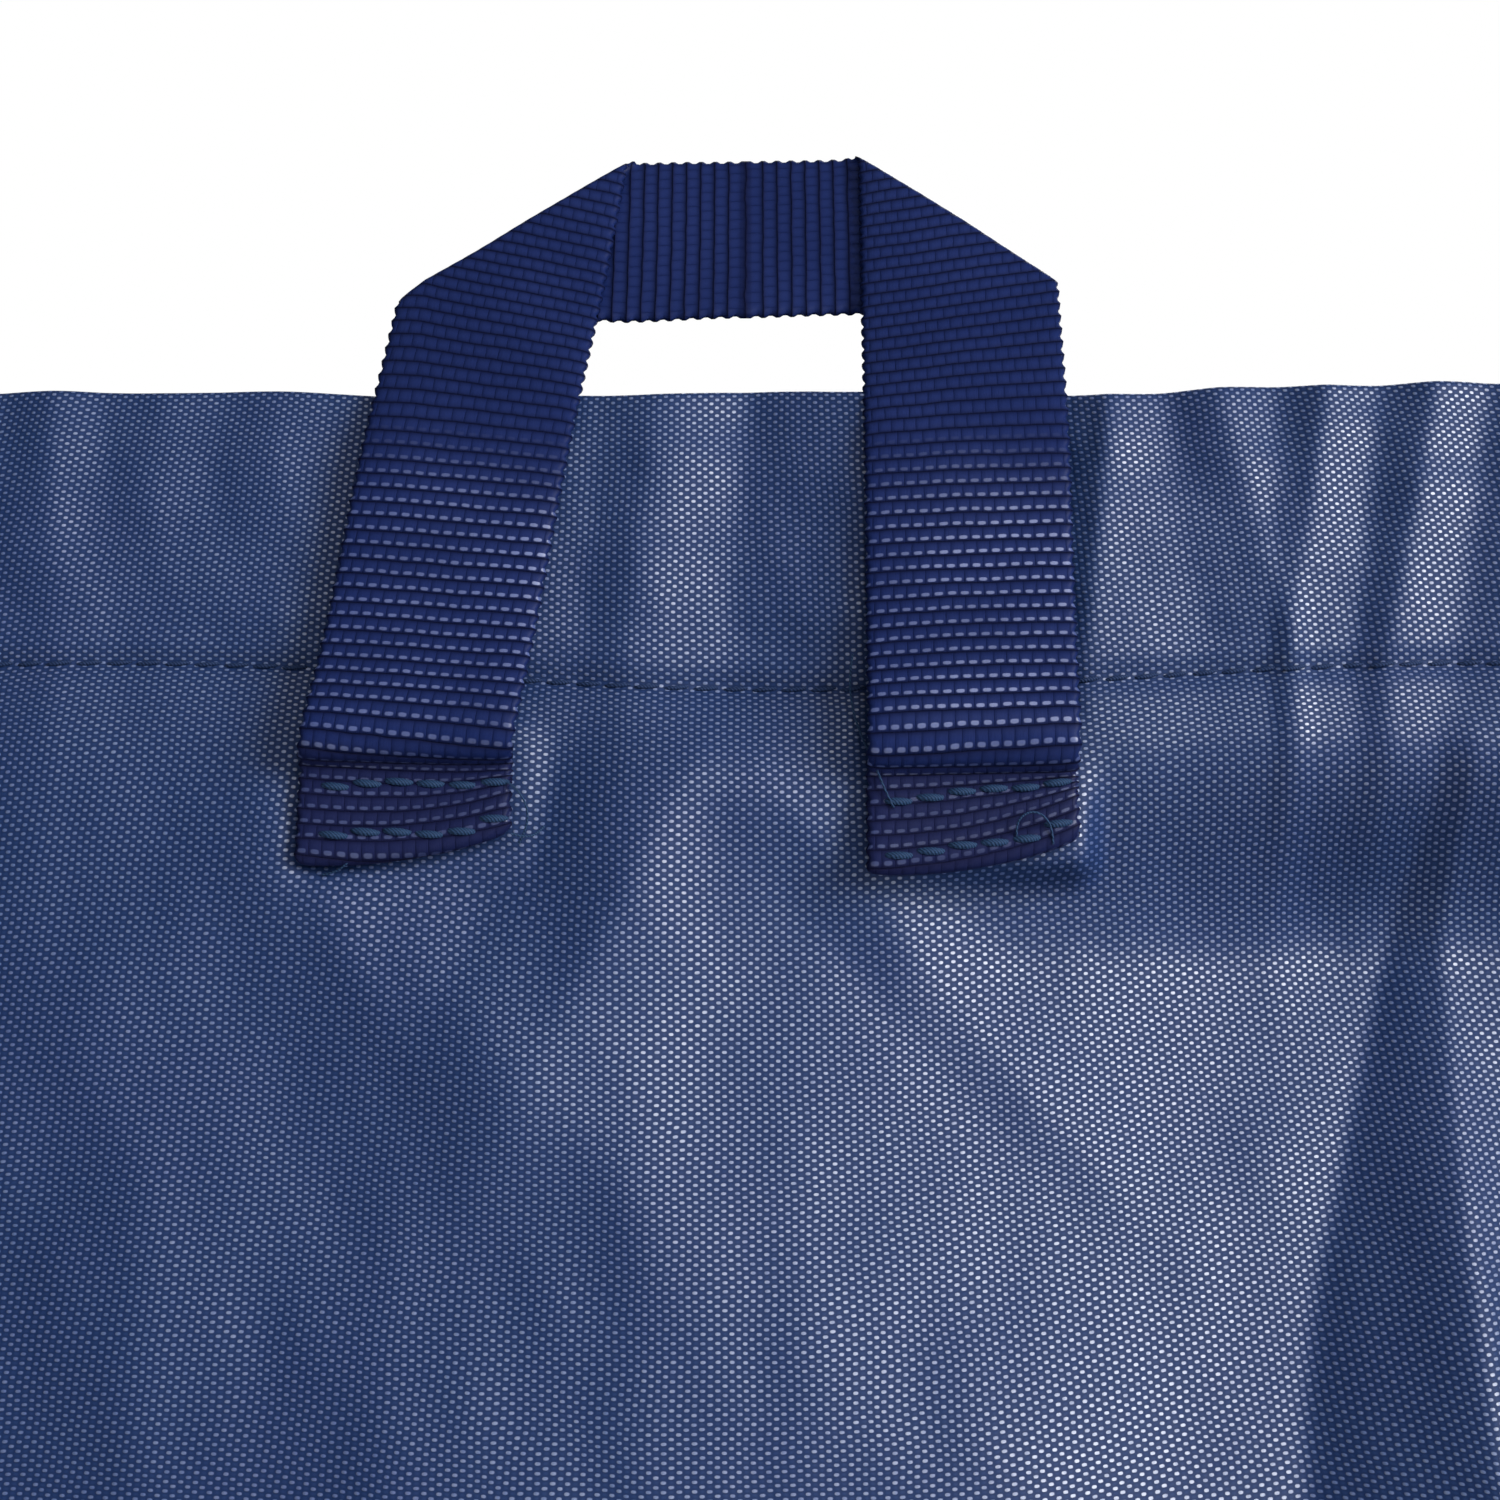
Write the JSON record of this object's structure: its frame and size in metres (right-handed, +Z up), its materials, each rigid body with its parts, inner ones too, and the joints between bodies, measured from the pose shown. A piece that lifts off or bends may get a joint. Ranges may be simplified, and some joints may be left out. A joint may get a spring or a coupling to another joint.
{
  "type": "fruit picking bag",
  "caption": "Soft open-topped cloth picking bag with a gathered elastic mouth, boxed base, and webbing loops sewn below the rim at the front and back.",
  "frame": {"origin": "on the floor, under the middle of the bag", "axes": "+Z up, +X to the right seen from the face with the standing loop, that face looks along -Y"},
  "size_m": [0.4, 0.25, 0.4324],
  "materials": {
    "oxford_cloth": "glossy coated oxford weave",
    "webbing": "ribbed woven webbing",
    "elastic": "woven elastic",
    "binding_tape": "folded binding tape",
    "hem_thread": "sewing thread",
    "seam_thread": "sewing thread",
    "loop_thread": "sewing thread"
  },
  "bodies": {
    "bag": {"front_panel": "oxford_cloth", "back_panel": "oxford_cloth", "right_gusset": "oxford_cloth", "left_gusset": "oxford_cloth", "base_panel": "oxford_cloth", "mouth_elastic": "elastic", "hem_stitching": "hem_thread", "base_seam_binding": "binding_tape", "base_seam_stitching": "seam_thread", "side_seam_stitching": "seam_thread", "front_loop_left_end": "webbing", "front_loop_right_end": "webbing", "front_loop_stitching": "loop_thread", "back_loop_left_end": "webbing", "back_loop_right_end": "webbing", "back_loop_stitching": "loop_thread", "front_left_seam_binding": "binding_tape", "front_right_seam_binding": "binding_tape", "back_left_seam_binding": "binding_tape", "back_right_seam_binding": "binding_tape"},
    "front_loop": {"front_loop_strap": "webbing"},
    "back_loop": {"back_loop_strap": "webbing"}
  },
  "joints": [
    {"name": "front_loop_swing", "type": "hinge", "parent": "bag", "child": "front_loop", "pos_m": [0, -0.10387, 0.3575], "axis": [1, 0, 0], "range_deg": [0, 180]},
    {"name": "back_loop_swing", "type": "hinge", "parent": "bag", "child": "back_loop", "pos_m": [0, 0.10387, 0.3575], "axis": [1, 0, 0], "range_deg": [0, 180]}
  ]
}
